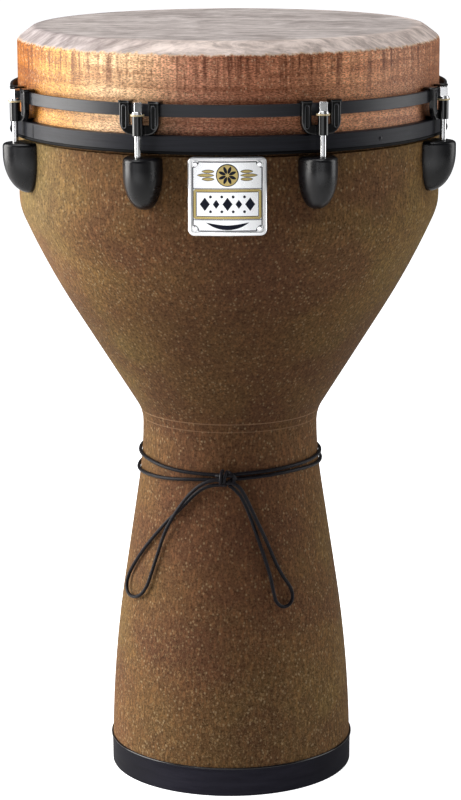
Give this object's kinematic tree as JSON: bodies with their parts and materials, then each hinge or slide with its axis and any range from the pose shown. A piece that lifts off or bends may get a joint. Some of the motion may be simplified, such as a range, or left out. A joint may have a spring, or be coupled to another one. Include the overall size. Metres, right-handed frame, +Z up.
{
  "type": "djembe",
  "caption": "Goblet-shaped hand drum with a flared stem, a screw-tensioned synthetic head, a rubber foot and a knotted waist cord.",
  "frame": {"origin": "centre of the foot ring's underside", "axes": "+Z up along the drum's axis, -Y towards the badge, +X to the right seen from the front"},
  "size_m": [0.368, 0.368, 0.6374],
  "materials": {
    "shell": "satin, fine cream speckle",
    "head_film": "satin printed hide",
    "black_band": "satin powder coat",
    "bracket_black": "gloss powder coat",
    "lug_black": "satin powder coat",
    "rod_chrome": "polished",
    "nylon": "smooth",
    "nut": "machined",
    "screw": "zinc plated",
    "rubber": "moulded",
    "badge": "brushed, part gilt",
    "nail": "polished",
    "cord": "tight braid"
  },
  "bodies": {
    "shell": {"shell_bowl": "shell", "shell_stem": "shell", "foot_ring": "rubber", "badge_plate": "badge", "badge_nails": "nail", "lug_casing_1": "lug_black", "lug_casing_2": "lug_black", "lug_casing_3": "lug_black", "lug_casing_4": "lug_black", "lug_casing_5": "lug_black", "lug_casing_6": "lug_black", "lug_casing_7": "lug_black", "lug_casing_8": "lug_black", "swivel_nuts": "nut", "lug_screws": "screw", "lug_screw_washers": "screw", "drumhead": "head_film", "waist_cord_upper": "cord", "waist_cord_lower": "cord", "cord_loop_left": "cord", "cord_loop_right": "cord", "cord_knot": "cord"},
    "tuning_ring": {"flesh_hoop": "black_band", "tension_hoop": "black_band", "bracket_1": "bracket_black", "bracket_2": "bracket_black", "bracket_3": "bracket_black", "bracket_4": "bracket_black", "bracket_5": "bracket_black", "bracket_6": "bracket_black", "bracket_7": "bracket_black", "bracket_8": "bracket_black", "nylon_washers": "nylon", "steel_washers": "rod_chrome"},
    "rod_1": {"tension_rod_1": "rod_chrome"},
    "rod_2": {"tension_rod_2": "rod_chrome"},
    "rod_3": {"tension_rod_3": "rod_chrome"},
    "rod_4": {"tension_rod_4": "rod_chrome"},
    "rod_5": {"tension_rod_5": "rod_chrome"},
    "rod_6": {"tension_rod_6": "rod_chrome"},
    "rod_7": {"tension_rod_7": "rod_chrome"},
    "rod_8": {"tension_rod_8": "rod_chrome"}
  },
  "joints": [
    {"name": "head_tension", "type": "slide", "parent": "shell", "child": "tuning_ring", "axis": [0, 0, 1], "range_m": [-0.0012, 0.006]},
    {"name": "rod_1_turn", "type": "hinge", "parent": "tuning_ring", "child": "rod_1", "pos_m": [-0.07035, -0.17326, 0.56], "axis": [0, 0, 1], "range_deg": [-420, 2062]},
    {"name": "rod_2_turn", "type": "hinge", "parent": "tuning_ring", "child": "rod_2", "pos_m": [0.07277, -0.17226, 0.56], "axis": [0, 0, 1], "range_deg": [-420, 2062]},
    {"name": "rod_3_turn", "type": "hinge", "parent": "tuning_ring", "child": "rod_3", "pos_m": [0.17326, -0.07035, 0.56], "axis": [0, 0, 1], "range_deg": [-420, 2062]},
    {"name": "rod_4_turn", "type": "hinge", "parent": "tuning_ring", "child": "rod_4", "pos_m": [0.17226, 0.07277, 0.56], "axis": [0, 0, 1], "range_deg": [-420, 2062]},
    {"name": "rod_5_turn", "type": "hinge", "parent": "tuning_ring", "child": "rod_5", "pos_m": [0.07035, 0.17326, 0.56], "axis": [0, 0, 1], "range_deg": [-420, 2062]},
    {"name": "rod_6_turn", "type": "hinge", "parent": "tuning_ring", "child": "rod_6", "pos_m": [-0.07277, 0.17226, 0.56], "axis": [0, 0, 1], "range_deg": [-420, 2062]},
    {"name": "rod_7_turn", "type": "hinge", "parent": "tuning_ring", "child": "rod_7", "pos_m": [-0.17326, 0.07035, 0.56], "axis": [0, 0, 1], "range_deg": [-420, 2062]},
    {"name": "rod_8_turn", "type": "hinge", "parent": "tuning_ring", "child": "rod_8", "pos_m": [-0.17226, -0.07277, 0.56], "axis": [0, 0, 1], "range_deg": [-420, 2062]}
  ],
  "couplings": [
    {"joint": "rod_1_turn", "follows": "head_tension", "rad_per_m": 5938.7},
    {"joint": "rod_2_turn", "follows": "head_tension", "rad_per_m": 5938.7},
    {"joint": "rod_3_turn", "follows": "head_tension", "rad_per_m": 5938.7},
    {"joint": "rod_4_turn", "follows": "head_tension", "rad_per_m": 5938.7},
    {"joint": "rod_5_turn", "follows": "head_tension", "rad_per_m": 5938.7},
    {"joint": "rod_6_turn", "follows": "head_tension", "rad_per_m": 5938.7},
    {"joint": "rod_7_turn", "follows": "head_tension", "rad_per_m": 5938.7},
    {"joint": "rod_8_turn", "follows": "head_tension", "rad_per_m": 5938.7}
  ]
}
